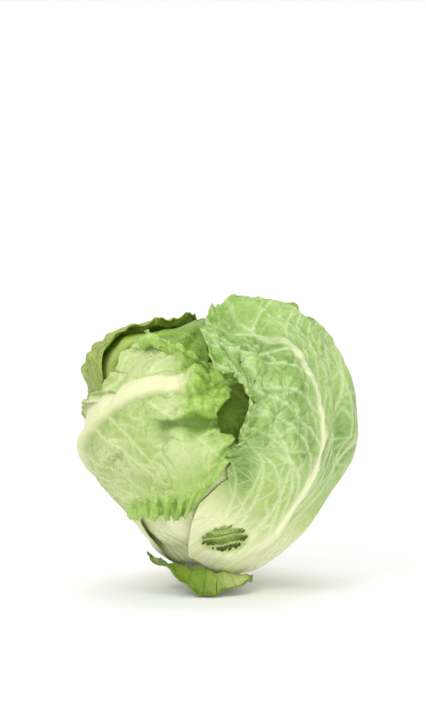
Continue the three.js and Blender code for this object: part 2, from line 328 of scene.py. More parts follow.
def leaf_material(name, rib, vein, pale, green, low, margin, crease_shade, mottle=0.5, net=0.7, relief=0.6):
    material, nodes, shader = new_material(name)
    skin = nodes.add("ShaderNodeGroup", node_tree=leaf_skin)
    for label, value in (("Rib", rib), ("Vein", vein), ("Pale", pale), ("Green", green), ("Low", low),
                         ("Margin", margin), ("Crease shade", crease_shade)):
        nodes.feed(skin, label, linear(*value))
    nodes.feed(skin, "Mottle", mottle)
    nodes.feed(skin, "Net", net)
    nodes.feed(shader, "Base Color", skin.outputs["Colour"])
    nodes.feed(shader, "Roughness", skin.outputs["Roughness"])
    bump = nodes.add("ShaderNodeBump",
                     inputs={"Strength": relief, "Distance": 0.001, "Height": skin.outputs["Height"]})
    nodes.feed(shader, "Normal", bump.outputs[0])
    nodes.feed(shader, "Subsurface Weight", 0.22)
    nodes.feed(shader, "Subsurface Radius", (0.8, 1.0, 0.35))
    nodes.feed(shader, "Subsurface Scale", 0.0025)
    nodes.feed(shader, "Specular IOR Level", 0.4)
    return material


def give_leaf_maps(piece, across, along, rib, vein, margin, crease_shade):
    """The flat map, in tenths of a metre, and the mask of midrib, side veins, margin and painted crease
    shade.
    """
    mask = np.stack([rib, vein, margin, 1 - crease_shade], 1)
    layer = piece.data.attributes.new("leaf_mask", "FLOAT_COLOR", "POINT")
    layer.data.foreach_set("color", np.clip(mask, 0, 1).astype(np.float32).ravel())
    while piece.data.uv_layers:
        piece.data.uv_layers.remove(piece.data.uv_layers[0])
    flat_map = piece.data.uv_layers.new(name="leaf_flat")
    corner_of_loop = np.empty(len(piece.data.loops), dtype=np.int32)
    piece.data.loops.foreach_get("vertex_index", corner_of_loop)
    flat = np.stack([across, along], 1)[corner_of_loop] / 100
    flat_map.data.foreach_set("uv", flat.astype(np.float32).ravel())


azimuth = np.arctan2(toward[:, 0], -toward[:, 1])
# The last mask is painted shade along the creases of the heart's folds.
give_leaf_maps(heart, azimuth * 60, np.arccos(-toward[:, 2]) * 60, np.zeros(len(toward)),
               climb(waves(toward * 60, 9, 23), 0.5, 1.0), np.full(len(toward), 0.6),
               0.5 * climb(np.abs(waves(toward * 60, 16, 21)), 0.15, 0))
# The heart's deep, saturated greens are partly its own colour and partly painted shade of the hollows it
# shows in; its crease colour is painted shade.
heart_leaf = leaf_material(
    "heart_leaf", rib=(196, 205, 140), vein=(140, 166, 56), pale=(112, 146, 24), green=(84, 118, 10),
    low=(120, 150, 40), margin=(88, 122, 10), crease_shade=(56, 80, 6))
put_in_place(heart, "packed_heart", "heart", heart_leaf)

# ---------------------------------------------------------------------------------------------------
# The head leaves. Seven crisp leaves that close over the heart, each on the ones before it. They grow
# from the stem, are thick and pale along the midrib, and their thin blades are blistered between veins.
# ---------------------------------------------------------------------------------------------------
RIB_STEPS = 120
FLAT_STRETCH = 1.25  # a flat leaf against its size on the bare heart, because it lies further out
SHEET_THICKNESS = 0.8
BLISTER_SIZE = 7.5
BLADE_THICKNESS = 1.1
LEAF_GAP = 2.2
RIB_HEIGHT = 2.6
RIB_HALF_WIDTH = 12
RIB_ROOM = 1.8
OVERHANG = 8
SETTLING = 22
CLOSE_SETTLING = (2, 14)
CLASP = 0.42
WIDEST = 0.55
TIP_NARROWING = 0.88
TIP_ROUNDING = 0.18
MARGIN_START = 0.55
laid_leaves = []  # in the order they are laid, which is the order of the sections

# On a leaf, t runs from -1 at its left edge over 0 at the midrib to 1 at its right edge. v runs from 0
# at its base to 1 at its tip on the flat sheet, and s is the share of the midrib that it has come to.


def grow_midrib(leaf):
    share = np.linspace(0, 1, 2000)
    polar = leaf["base"][0] + (leaf["tip"][0] - leaf["base"][0]) * (1 - (1 - share) ** leaf.get("rise", 1))
    azimuth = (leaf["base"][1] + (leaf["tip"][1] - leaf["base"][1]) * share ** leaf.get("bend", 1)
               + leaf.get("bow", 0) * np.sin(np.pi * share))
    course = direction(polar, azimuth)
    gone = np.concatenate([[0], np.cumsum(np.linalg.norm(np.diff(course, axis=0), axis=1))])
    even = np.interp(np.linspace(0, gone[-1], RIB_STEPS + 1), gone, share)
    at = np.stack([np.interp(even, share, course[:, axis]) for axis in range(3)], 1)
    at /= np.linalg.norm(at, axis=1)[:, None]
    along = np.gradient(at, axis=0)
    along -= (along * at).sum(1)[:, None] * at
    along /= np.linalg.norm(along, axis=1)[:, None]
    leaf["rib"] = (at, along, np.cross(along, at))
    leaf["length"] = gone[-1]


def half_width(leaf, s, side):
    full = np.radians(np.where(side < 0, leaf["left"], leaf["right"]))
    opening = CLASP + (1 - CLASP) * np.sin(np.pi / 2 * np.minimum(1, s / WIDEST))
    near_tip = TIP_NARROWING * np.maximum(0, (s - WIDEST) / (1 - WIDEST)) ** 2
    return full * opening * np.sqrt(1 - near_tip**2)


def on_ball(leaf, angle, s):
    """The way out to a point of the leaf that lies an angle to the side of its midrib."""
    at, _, across = leaf["rib"]
    steps = np.linspace(0, 1, RIB_STEPS + 1)
    at = np.stack([np.interp(s, steps, at[:, axis]) for axis in range(3)], 1)
    across = np.stack([np.interp(s, steps, across[:, axis]) for axis in range(3)], 1)
    at /= np.linalg.norm(at, axis=1)[:, None]
    across /= np.linalg.norm(across, axis=1)[:, None]
    return at * np.cos(angle)[:, None] + across * np.sin(angle)[:, None]


def on_leaf(leaf, toward):
    """Where a way out falls on a leaf, and by what angle it falls outside its edge."""
    at, along, across = leaf["rib"]
    nearest = np.argmax(toward @ at.T, axis=1)
    at, along, across = at[nearest], along[nearest], across[nearest]
    ahead = np.arctan2((toward * along).sum(1), (toward * at).sum(1))
    s = nearest / RIB_STEPS + ahead / leaf["length"]
    sideways = np.arcsin(np.clip((toward * across).sum(1), -1, 1))
    width = half_width(leaf, np.clip(s, 0, 1), sideways)
    t = np.clip(sideways / width, -1, 1)
    past_side = np.maximum(0, np.abs(sideways) - width)
    past_tip = np.maximum(0, s - (1 - TIP_ROUNDING * t**2)) * leaf["length"]
    past_base = np.maximum(0, -s) * leaf["length"]
    return t, np.clip(s, 0, 1), np.sqrt(past_side**2 + past_tip**2 + past_base**2)


def rib_height(leaf, t, s, room=1):
    aside = np.abs(t) * half_width(leaf, s, t) * HEART_RADIUS
    return RIB_HEIGHT * (1 - s) ** 1.5 * np.exp(-((aside / (RIB_HALF_WIDTH * room)) ** 2))


def stand_off(leaf, toward, t, s):
    margin = leaf["lift"] * climb(np.maximum(np.abs(t), s), MARGIN_START, 1) * climb(s, 0.15, 0.5)
    return margin + (hollow_depth(toward) if leaf.get("bridges") else 0)


def resting_radius(toward, closely_from=None):
    """The surface that the next leaf comes to lie on: the heart and every leaf already there.

    Past its edge a leaf's thickness dies away slowly, or closely for the leaves from a given one on.
    """
    radius = heart_radius(toward) + LEAF_GAP
    for order, leaf in enumerate(laid_leaves):
        t, s, outside = on_leaf(leaf, toward)
        rise = BLADE_THICKNESS + rib_height(leaf, t, s, RIB_ROOM) + LEAF_GAP + stand_off(leaf, toward, t, s)
        closely = closely_from is not None and order >= closely_from
        near, far = CLOSE_SETTLING if closely else (OVERHANG, OVERHANG + SETTLING)
        radius += rise * (1 - climb(outside * HEART_RADIUS, near, far))
    return radius


def surface_of(name, toward):
    """The outside of a leaf that is already there."""
    order = [leaf["name"] for leaf in laid_leaves].index(name)
    above, leaf = laid_leaves[order:], laid_leaves[order]
    del laid_leaves[order:]
    radius = resting_radius(toward)
    laid_leaves.extend(above)
    t, s, _ = on_leaf(leaf, toward)
    return radius + stand_off(leaf, toward, t, s) + rib_height(leaf, t, s) + 0.6 * BLADE_THICKNESS


def ragged(along, seed, lobe=26, tooth=6):
    """How far a margin is cut back, 0 to 1: rounded lobes with sharp notches, and small teeth on them."""
    draw = np.random.default_rng(seed)
    start = draw.uniform(0, 100, 6)
    warp = (0.35 * lobe * np.sin(along / (1.7 * lobe) + start[0])
            + 0.15 * lobe * np.sin(along / (0.6 * lobe) + start[1]))
    lobes = (1 - np.abs(np.sin(np.pi * (along + warp) / lobe + start[2]))) ** 1.6
    drift = 0.5 + 0.5 * np.sin(along / (1.3 * lobe) + start[3])
    jitter = (0.5 * tooth * np.sin(along / (1.9 * tooth) + start[4])
              + 0.3 * tooth * np.sin(along / (0.7 * tooth) + start[5]))
    teeth = np.abs(np.sin(np.pi * (along + jitter) / tooth)) ** 0.8
    return 0.5 * lobes + 0.22 * drift + 0.28 * teeth * (0.4 + 0.6 * drift)


def side_veins(leaf, draw, count):
    """The course of the side veins in the flat leaf: rows of (across, along, half width), all in mm."""
    rows = []
    length = leaf["length"] * HEART_RADIUS * FLAT_STRETCH
    fan = 4
    for side in (-1, 1):
        for k in range(-fan, count):
            if k < 0:
                across, along = side * 3.4 * (k + fan + 1), 0.0
                heading = math.radians(13 + 7 * (k + fan) + draw.uniform(-3, 3))
                thick, reach = 2.0 - 0.25 * (k + fan), length * (0.8 - 0.08 * (k + fan))
                turn = math.radians(draw.uniform(-0.05, 0.12))
            else:
                start = (k + 0.5 + draw.uniform(-0.25, 0.25)) / count
                across, along = 0.0, length * (0.1 + 0.8 * start**1.1)
                heading = math.radians(20 + 30 * k / count + draw.uniform(-4, 4))
                thick, reach = 1.6 - 1.0 * k / count, length * (0.7 - 0.4 * k / count)
                turn = math.radians(draw.uniform(0.1, 0.35))
            gone, next_branch, branch_side = 0.0, draw.uniform(12, 18), 1
            while gone < reach:
                heading += turn * (0.6 + 0.8 * math.sin(gone / 17 + k)) + math.radians(draw.normal() * 1.1)
                across += side * math.sin(heading)
                along += math.cos(heading)
                gone += 1
                now = thick * (1 - 0.75 * gone / reach)
                rows.append((across, along, now))
                if gone > next_branch:
                    next_branch += draw.uniform(8, 14)
                    branch_side = -branch_side
                    way = heading + branch_side * math.radians(draw.uniform(32, 55))
                    x, y = across, along
                    for step in range(int(draw.uniform(9, 24))):
                        way += math.radians(draw.normal() * 4) - branch_side * math.radians(0.8)
                        x += side * math.sin(way)
                        y += math.cos(way)
                        rows.append((x, y, max(0.3, 0.62 * now * (1 - step / 30))))
    return np.array(rows)


def nearest_of(points, queries, how_many=1):
    """For each query, the nearest point and how far it is, or how far each of several nearest is."""
    tree = kdtree.KDTree(len(points))
    for index, point in enumerate(points):
        tree.insert((point[0], point[1], 0), index)
    tree.balance()
    if how_many == 1:
        found = [tree.find((x, y, 0)) for x, y in queries]
        return np.array([hit[1] for hit in found]), np.array([hit[2] for hit in found])
    found = [[hit[2] for hit in tree.find_n((x, y, 0), how_many)] for x, y in queries]
    return np.array(found)


def blisters(across, along, size, seed):
    """The net between the side veins: 1 on its strands and 0 inside its meshes."""
    draw = np.random.default_rng(seed)
    rows = int((along.max() - along.min()) / size) + 5
    columns = int((across.max() - across.min()) / size) + 5
    grid = np.stack(np.meshgrid(np.arange(columns), np.arange(rows)), -1).reshape(-1, 2).astype(float)
    grid[:, 0] += 0.5 * (grid[:, 1] % 2)
    grid = (grid + draw.uniform(-0.36, 0.36, grid.shape) - 2) * size + (across.min(), along.min())
    apart = nearest_of(grid, np.stack([across, along], 1), 2)
    return (apart[:, 1] - apart[:, 0]) / size


def grow_leaf(leaf, grid, material):
    """One leaf: a flat sheet, cut to its outline, laid over what is there and given its relief."""
    grow_midrib(leaf)
    draw = np.random.default_rng(leaf["seed"])
    deselect_all()
    bpy.ops.mesh.primitive_grid_add(x_subdivisions=grid, y_subdivisions=grid, size=2)
    piece = bpy.context.object
    flat = corners_of(piece)
    t, v = flat[:, 0], (flat[:, 1] + 1) / 2
    length = leaf["length"] * HEART_RADIUS * FLAT_STRETCH
    cut = leaf.get("cut", 4)
    side_edge = v * length
    tip_edge = t * 60 + 300
    tip_cut = ragged(tip_edge, leaf["seed"] + 3, leaf.get("lobe", 26)) * cut
    if "tip_trim" in leaf:
        tip_cut = tip_cut + np.interp(t, *leaf["tip_trim"])
    s = v * (1 - TIP_ROUNDING * t**2 * v**2) * (1 - tip_cut / length * v**6)
    width = half_width(leaf, s, t)
    side_cut = np.where(t < 0, ragged(side_edge, leaf["seed"] + 1, leaf.get("lobe", 26)),
                        ragged(side_edge, leaf["seed"] + 2, leaf.get("lobe", 26)))
    side_cut = side_cut * cut * climb(v, 0.12, 0.4)
    if "left_trim" in leaf:
        side_cut = side_cut + np.where(t < 0, np.interp(v, *leaf["left_trim"]), 0)
    if "right_trim" in leaf:
        side_cut = side_cut + np.where(t > 0, np.interp(v, *leaf["right_trim"]), 0)
    side_cut = np.minimum(side_cut / (width * HEART_RADIUS * FLAT_STRETCH), 0.95)
    at_margin = np.minimum(side_cut, (1 - side_cut) / 2)
    angle = t * width * (1 - (side_cut - at_margin) - at_margin * t**2)
    toward = on_ball(leaf, angle, s)
    rest = resting_radius(toward) + stand_off(leaf, toward, t, s)
    across = angle * HEART_RADIUS * FLAT_STRETCH
    along = s * length
    from_side = (1 - np.abs(t)) * width * HEART_RADIUS * FLAT_STRETCH
    from_tip = (1 - v) * length
    from_edge = np.minimum(from_side, from_tip)

    rib_half = leaf.get("rib_half", 9) * (1 - leaf.get("rib_taper", 0.78) * s)
    rib_half *= 1 + 0.9 * climb(s, 0.22, 0)
    fade_from, fade_to = leaf.get("rib_fade", (0.45, 1.1))
    off_rib = across + leaf.get("rib_shift", 0) * climb(s, 0.62, 0.85)
    rib = np.exp(-((off_rib / rib_half) ** leaf.get("rib_edge", 4))) * (1 - climb(s, fade_from, fade_to))
    flank = np.where(off_rib > 0, leaf.get("rib_flank", 2), 2)
    rib_relief = leaf.get("rib_relief", 1.6) * np.exp(-(np.abs(off_rib / rib_half) ** flank))
    rib_relief *= 1 - climb(s, fade_from - 0.2, fade_to)
    rows = side_veins(leaf, draw, leaf.get("veins", 8))
    which, apart = nearest_of(rows, np.stack([across, along], 1))
    thick = rows[which, 2]
    vein = np.exp(-((apart / (0.45 + 0.6 * thick)) ** 2))
    vein_relief = 0.4 * thick * vein
    strands = blisters(across + 2 * waves(np.stack([across, along], 1), 22, leaf["seed"] + 5), along,
                       leaf.get("mesh", BLISTER_SIZE), leaf["seed"] + 4)
    net = np.exp(-((strands / 0.16) ** 2))
    soft = (1 - rib) * climb(s, 0.1, 0.4)
    dome = np.minimum(strands, 0.7)
    spot = np.stack([across, along], 1)
    fold, crimp = waves(spot, 20, leaf["seed"] + 7), waves(spot, 8, leaf["seed"] + 8)
    patch = soft * (0.25 + 0.75 * climb(waves(spot, 42, leaf["seed"] + 9), -0.3, 0.7))
    patch *= 0.4 + 0.6 * climb(s, 0.25, 0.6)
    crumple = 0.9 * waves(spot, 24, leaf["seed"] + 6)
    crumple += patch * (2.4 * np.abs(fold) + 0.8 * np.abs(crimp) - 1.1)
    # Painted shade: the lines where the folds and crimps turn in are marked, to be darkened.
    crease_shade = patch * np.maximum(np.exp(-((fold / 0.07) ** 2)), 0.7 * np.exp(-((crimp / 0.09) ** 2)))
    crease_shade *= leaf.get("painted_crease_shade", 0.7)
    relief = rib_relief + vein_relief * (1 - 0.7 * rib) + soft * leaf.get("crumple", 0.5) * crumple
    relief += soft * leaf.get("pucker", 0.35) * (dome - 0.3) + soft * 0.16 * net
    edge_run = np.where(from_side < from_tip, side_edge * np.sign(t) + 500, tip_edge)
    along_edge = np.stack([edge_run, 0.7 * from_edge], 1)
    ruffle_waves = 1.1 * waves(along_edge, leaf.get("ruffle_length", 17), leaf["seed"] + 10)
    ruffle_waves += (0.6 * waves(along_edge, 7, leaf["seed"] + 11)
                     + 0.25 * waves(along_edge, 3.5, leaf["seed"] + 12))
    ruffle = leaf.get("ruffle", 1.0) * np.exp(-((from_edge / 10) ** 2)) * climb(v, 0.25, 0.55)
    if "calm_at" in leaf:
        ruffle *= 1 - leaf["calm_at"](t, v)
    relief += ruffle * (0.6 + 0.8 * ruffle_waves) + leaf.get("base_bulge", 0) * climb(s, 0.2, 0.02)
    painted_recess_shade = np.zeros(len(t))
    if "shape" in leaf:
        shaped, painted_recess_shade = leaf["shape"](t, v, s, across, along, off_rib)
        relief += shaped
    if "clings_to" in leaf:
        close = climb(v, 0.5, 0.3) * climb(v, 0.06, 0.16) * climb(t * leaf["clinging_side"], 0.1, 0.8)
        relief -= close * np.maximum(0, rest + relief - surface_of(leaf["clings_to"], toward) - 1.6)
    places = toward * (rest + relief)[:, None] * MM + np.array(BALL_MIDDLE)
    gone = None
    if "tears" in leaf:
        gone, pushed_in = leaf["tears"](places[:, 0] / MM, places[:, 2] / MM, toward)
        places -= toward * pushed_in[:, None] * MM
    places[:, 2] = np.maximum(places[:, 2], 0.0012)
    move_corners(piece, places)

    cream = climb(s, leaf.get("cream", 0.26), 0.04)
    rib = np.clip(np.maximum(rib * leaf.get("rib_strength", 0.85), cream), 0, 1)
    margin = np.exp(-((from_edge / leaf.get("margin", 14)) ** 1.5)) * climb(v, 0.3, 0.65)
    if "calm_at" in leaf:
        margin *= 1 - leaf["calm_at"](t, v)
    if "green_at" in leaf:
        green = leaf["green_at"](t, v, across, places[:, 0] / MM, places[:, 2] / MM)
        margin, rib, vein = np.maximum(margin, green), rib * (1 - green), vein * (1 - 0.8 * green)
    # The painted shade of the creases joins the painted shade of the leaf's own recesses.
    crease_shade = np.maximum(crease_shade, painted_recess_shade)
    veined = np.maximum(vein * (0.45 + 0.45 * thick), 0.2 * net * soft)
    give_leaf_maps(piece, across, along, rib, veined, margin, crease_shade)
    if gone is not None:
        bpy.ops.object.mode_set(mode="EDIT")
        bpy.ops.mesh.select_all(action="DESELECT")
        bpy.ops.object.mode_set(mode="OBJECT")
        piece.data.vertices.foreach_set("select", gone)
        bpy.ops.object.mode_set(mode="EDIT")
        bpy.ops.mesh.select_mode(type="VERT")
        bpy.ops.mesh.delete(type="VERT")
        bpy.ops.object.mode_set(mode="OBJECT")
    solid = piece.modifiers.new("thickness", "SOLIDIFY")
    solid.thickness = SHEET_THICKNESS * MM
    solid.offset = -1
    apply_modifiers(piece)
    put_in_place(piece, leaf["name"] + "_leaf", leaf["name"], material)
    laid_leaves.append(leaf)


# The inner leaves' deep, saturated greens are partly their own colour and partly painted shade of the hollows
# they show in; their crease colour is painted shade.
inner_blade = leaf_material(
    "inner_blade", rib=(196, 206, 128), vein=(152, 182, 60), pale=(122, 160, 28), green=(88, 124, 8),
    low=(140, 170, 50), margin=(92, 132, 8), crease_shade=(46, 70, 2))
HEAD_LEAVES = (
    {"name": "head_leaf_1", "base": (25, -25), "tip": (166, -25), "left": 66, "right": 66, "lift": 1},
    {"name": "head_leaf_2", "base": (25, 112), "tip": (170, 112), "left": 68, "right": 68, "lift": 1},
    {"name": "head_leaf_3", "base": (24, -110), "tip": (182, -110), "left": 68, "right": 68, "lift": 1},
    {"name": "head_leaf_4", "base": (23, 30), "tip": (172, 34), "left": 64, "right": 66, "lift": 1.5},
    {"name": "head_leaf_5", "base": (21, 165), "tip": (188, 165), "left": 70, "right": 68, "lift": 1.5},
    {"name": "head_leaf_6", "base": (19, -64), "tip": (176, -70), "left": 64, "right": 60, "lift": 1.5},
    {"name": "head_leaf_7", "base": (18, 84), "tip": (180, 94), "left": 62, "right": 68, "lift": 1.5},
)
for number, leaf in enumerate(HEAD_LEAVES):
    leaf.update(seed=100 + 10 * number, slot="inner_leaf", cut=3, ruffle=0.6, crumple=0.3, rib_relief=0.5)
    grow_leaf(leaf, 90 if number < 3 else 130, inner_blade)

# ---------------------------------------------------------------------------------------------------
# The back left wrapper. A big olive green outer leaf behind the left shoulder, with a strong pale midrib
# and long side veins. It lies on the head leaves, and every other wrapper lies on it.
# ---------------------------------------------------------------------------------------------------
olive_blade = leaf_material(
    "olive_blade", rib=(202, 206, 140), vein=(178, 190, 106), pale=(150, 168, 82), green=(122, 142, 54),
    low=(176, 192, 104), margin=(128, 150, 50), crease_shade=(70, 92, 22))
grow_leaf({"name": "back_left_wrapper", "base": (16, -142), "tip": (166, -128), "left": 58, "right": 68,
           "lift": 1.5, "seed": 210, "slot": "outer_leaf", "cut": 5, "ruffle": 1.2, "rib_relief": 1.2,
           "crumple": 1.1, "painted_crease_shade": 1.0,
           "right_trim": ((0.3, 0.5, 0.9, 1), (0, -15, -15, -8))}, 200, olive_blade)

# ---------------------------------------------------------------------------------------------------
# The front base leaf. A short pale leaf low on the front: its veins fan up from the stem. It is green at
# its rim and in one patch behind the torn wrapper. The two front wrappers lie over its edges.
# ---------------------------------------------------------------------------------------------------
GREEN_PATCH = (7, 34)
GREEN_REACH = (16, 11)


def behind_the_tear(t, v, across, x, z):
    """The green patch of this leaf that the torn wrapper over it lets through."""
    over, up = (x - GREEN_PATCH[0]) / GREEN_REACH[0], (z - GREEN_PATCH[1]) / GREEN_REACH[1]
    return climb(np.hypot(over, up), 1.25, 0.85)


base_blade = leaf_material(
    "base_blade", rib=(232, 234, 194), vein=(232, 234, 196), pale=(206, 218, 158), green=(186, 206, 132),
    low=(208, 220, 158), margin=(142, 172, 54), crease_shade=(126, 146, 74), net=0.3)
grow_leaf({"name": "front_base_leaf", "base": (12.5, -10), "base_bulge": 5.5, "tip": (94, -30), "bow": -8,
           "left": 48, "right": 50, "lift": 1.5, "seed": 310, "slot": "outer_leaf", "cut": 5, "ruffle": 1.0,
           "cream": 0.2, "veins": 7, "rib_relief": 1.0, "crumple": 0.3, "painted_crease_shade": 0.3,
           "green_at": behind_the_tear}, 180, base_blade)

# ---------------------------------------------------------------------------------------------------
# The far right and back right wrappers. Two more big outer leaves that close the right side and the
# back. They grow like the back left wrapper and are a lighter green.
# ---------------------------------------------------------------------------------------------------
outer_blade = leaf_material(
    "outer_blade", rib=(210, 214, 160), vein=(190, 206, 134), pale=(166, 188, 106), green=(132, 162, 68),
    low=(180, 196, 108), margin=(136, 166, 54), crease_shade=(84, 112, 34))
grow_leaf({"name": "far_right_wrapper", "base": (15, 98), "tip": (160, 98), "left": 58, "right": 60,
           "lift": 1.5, "seed": 230, "slot": "outer_leaf", "cut": 6, "ruffle": 1.6,
           "rib_relief": 1.2}, 170, outer_blade)
grow_leaf({"name": "back_right_wrapper", "base": (14, 156), "tip": (162, 158), "left": 62, "right": 60,
           "lift": 2, "seed": 240, "slot": "outer_leaf", "cut": 7, "ruffle": 1.8, "rib_relief": 1.6,
           "crumple": 0.6}, 200, outer_blade)

# ---------------------------------------------------------------------------------------------------
# The left wrapper. It comes up the left side and folds round to the front, so its thick pale midrib
# runs almost level. Its crumpled, frilly tip is tucked under the right wrapper's margin.
# ---------------------------------------------------------------------------------------------------
left_blade = leaf_material(
    "left_blade", rib=(210, 212, 168), vein=(206, 216, 160), pale=(176, 194, 128), green=(146, 172, 88),
    low=(196, 208, 140), margin=(136, 178, 42), crease_shade=(84, 118, 22))


def left_shape(t, v, s, across, along, off_rib):
    """Under the midrib the blade falls away in a fold, and the tip is crushed into lobes over it."""
    rib_side = 12 * (1 - 0.85 * s)
    below = climb(off_rib, 0.75 * rib_side, rib_side + 2) * climb(off_rib, 42, 14) * climb(v, 0.34, 0.45)
    below *= climb(v, 0.88, 0.8)
    spot = np.stack([across, along], 1)
    tip = climb(v, 0.83, 0.89) * climb(across, 19, 15)
    big, small = waves(spot, 24, 901), waves(spot, 11, 902)
    lobes = 5.0 * np.abs(big) + 3.0 * np.abs(small) + 1.2 * np.abs(waves(spot, 6, 903)) - 1.5
    lip = across - 13 - 2.5 * waves(spot, 15, 904)
    under_lobes = climb(lip, -0.6, 1.2) * climb(lip, 13, 5) * climb(v, 0.78, 0.83)
    shaped = -2.6 * below + tip * (lobes - 0.6) * climb(lip, 1.2, -1) - 5.5 * under_lobes
    # Painted shade: the lobes' creases, the recess under the lobes and a band along the midrib's lower edge
    # are marked, to be darkened.
    folds = tip * np.maximum(np.exp(-((big / 0.07) ** 2)), 0.8 * np.exp(-((small / 0.09) ** 2)))
    painted_recess_shade = np.maximum(0.9 * under_lobes, 0.35 * climb(off_rib, rib_side + 3, rib_side) * below)
    return shaped, np.maximum(painted_recess_shade, 0.7 * folds)


def left_calm(t, v):
    """The margin above the midrib lies quiet where it turns the corner."""
    return 0.9 * climb(-t, 0, 0.2) * climb(v, 0.9, 0.76)


def left_green(t, v, across, x, z):
    """The lobes of the tip and the frill along the lower margin have the full green."""
    frill = climb(t, 0.72, 0.9) * climb(v, 0.3, 0.5)
    return np.maximum(climb(v, 0.84, 0.9) * climb(across, 30, 16), 0.9 * frill)


grow_leaf({"name": "left_wrapper", "base": (14, -126), "tip": (116, 18), "rise": 2.3, "bend": 1.5, "left": 34,
           "right": 54, "lift": 2.5, "bridges": True, "seed": 410, "slot": "outer_leaf", "cut": 6, "lobe": 17,
           "ruffle": 2.8, "ruffle_length": 13, "calm_at": left_calm, "rib_half": 15, "rib_taper": 0.86,
           "rib_fade": (0.85, 0.92), "rib_edge": 8, "rib_flank": 6, "rib_relief": 3.6, "rib_strength": 1.0,
           "rib_shift": 5, "margin": 14, "shape": left_shape, "green_at": left_green, "crumple": 0.55,
           "cream": 0.3, "clings_to": "front_base_leaf", "clinging_side": 1,
           "left_trim": ((0.15, 0.3, 0.45, 0.55, 0.62, 0.7, 0.74, 0.78, 0.82, 0.86, 0.9, 0.93, 0.96, 1),
                         (0, 10, 22, 29, 32, 31, 24, 14, 6, 1, -1, 5, 14, 16)),
           "right_trim": ((0, 0.05, 0.2, 0.3, 0.5, 0.6, 0.7, 0.8, 0.9, 1),
                          (-14, -18, -10, 6, 6, 4, 2, -4, -9, -4)),
           "tip_trim": ((-1, -0.8, -0.6, -0.4, -0.2, 0, 0.1, 0.25, 0.4, 0.5, 0.6, 0.7, 0.8, 0.9, 1),
                        (18, 17, 12, 3, 3, 7, 9, 16, 9, 0, -6, -11, -14, -12, -8))}, 218, left_blade)

# ---------------------------------------------------------------------------------------------------
# The right wrapper. The outermost and biggest leaf. It wraps the right side from stem to crown, with a
# pale midrib that swings out to the right, and its torn, toothed margin runs down the front.
# ---------------------------------------------------------------------------------------------------
right_blade = leaf_material(
    "right_blade", rib=(238, 236, 202), vein=(204, 218, 164), pale=(154, 184, 100), green=(106, 144, 48),
    low=(176, 198, 100), margin=(118, 158, 52), crease_shade=(72, 106, 36), net=0.4)


def right_shape(t, v, s, across, along, off_rib):
    """High on the front side the blade is crushed into small sharp crinkles, with painted shade along their
    creases.
    """
    spot = np.stack([across, along], 1)
    upper = climb(v, 0.48, 0.66) * climb(across, 14, -8)
    fold, crimp = waves(spot, 19, 911), waves(spot, 9, 912)
    crease_shade = np.maximum(np.exp(-((fold / 0.06) ** 2)), 0.6 * np.exp(-((crimp / 0.08) ** 2)))
    return upper * (2.6 * np.abs(fold) + 1.0 * np.abs(crimp) - 1.1), 0.7 * upper * crease_shade


TEAR_MIDDLE = (6.6, 34)
TEAR_REACH = (13, 7.4)


def right_tears(x, z, toward):
    """A torn patch low at the front, with a few shreds of the blade still stretched across it."""
    over = (x - TEAR_MIDDLE[0]) / TEAR_REACH[0]
    up = (z - TEAR_MIDDLE[1] - 0.12 * (x - TEAR_MIDDLE[0])) / TEAR_REACH[1]
    front = toward[:, 1] < 0
    inside = (over**2 + np.abs(up) ** 1.6 < 1 + 0.2 * np.sin(x * 1.7) * np.sin(z * 1.3)) & front
    shred = np.sin(1.35 * (z - 0.16 * x) + 0.5 * np.sin(0.35 * x) + 0.6) > 0.15
    near = np.exp(-(over**2 + up**2) * 0.7) * front
    return inside & ~shred, 2.6 * near


def right_green(t, v, across, x, z):
    """The shreds across the torn patch are green."""
    over, up = (x - TEAR_MIDDLE[0]) / TEAR_REACH[0], (z - TEAR_MIDDLE[1]) / TEAR_REACH[1]
    return 0.8 * climb(np.hypot(over, up), 1.3, 0.9)


grow_leaf({"name": "right_wrapper", "base": (13, 24), "tip": (166, 16), "bow": 34, "left": 46, "right": 58,
           "lift": 2.5, "bridges": True, "seed": 510, "slot": "outer_leaf", "cut": 6, "lobe": 18,
           "ruffle": 1.4, "rib_half": 6, "rib_relief": 1.5, "shape": right_shape, "tears": right_tears,
           "green_at": right_green, "crumple": 0.5, "pucker": 0.15, "mesh": 11, "veins": 9, "cream": 0.32,
           "clings_to": "front_base_leaf", "clinging_side": -1,
           "left_trim": ((0, 0.05, 0.1, 0.15, 0.2, 0.27, 0.35, 0.55, 0.62, 0.7, 0.745, 0.77, 0.79, 0.81,
                          0.84, 0.88, 0.92, 0.96, 1),
                         (0, -6, -12, -15, -12, -6, -6, -6, -4, 3, 5, 9, 18, 20,
                          17, 17, 16, 14, 10))}, 218, right_blade)

# ---------------------------------------------------------------------------------------------------
# The fallen base leaf. The lowest leaf has come away from the stem. It clings to the ball's underside,
# and its rim hangs down to the ground at the front, ragged. Painted shade darkens it at the left and
# painted light makes it pale at the right.
# ---------------------------------------------------------------------------------------------------
FALLEN_ROOT = 17.4
FALLEN_REACH = 28
FALLEN_LEFT_ROUNDING = 0.15
FALLEN_RIGHT_ROUNDING = 0.5
FALLEN_AZIMUTH = -8
FALLEN_LEFT_TURN = 74
FALLEN_RIGHT_TURN = 60
FALLEN_THICKNESS = 0.9
GROUND_CLEARANCE = 1.5
LOWEST_OUTSIDE = 1.3

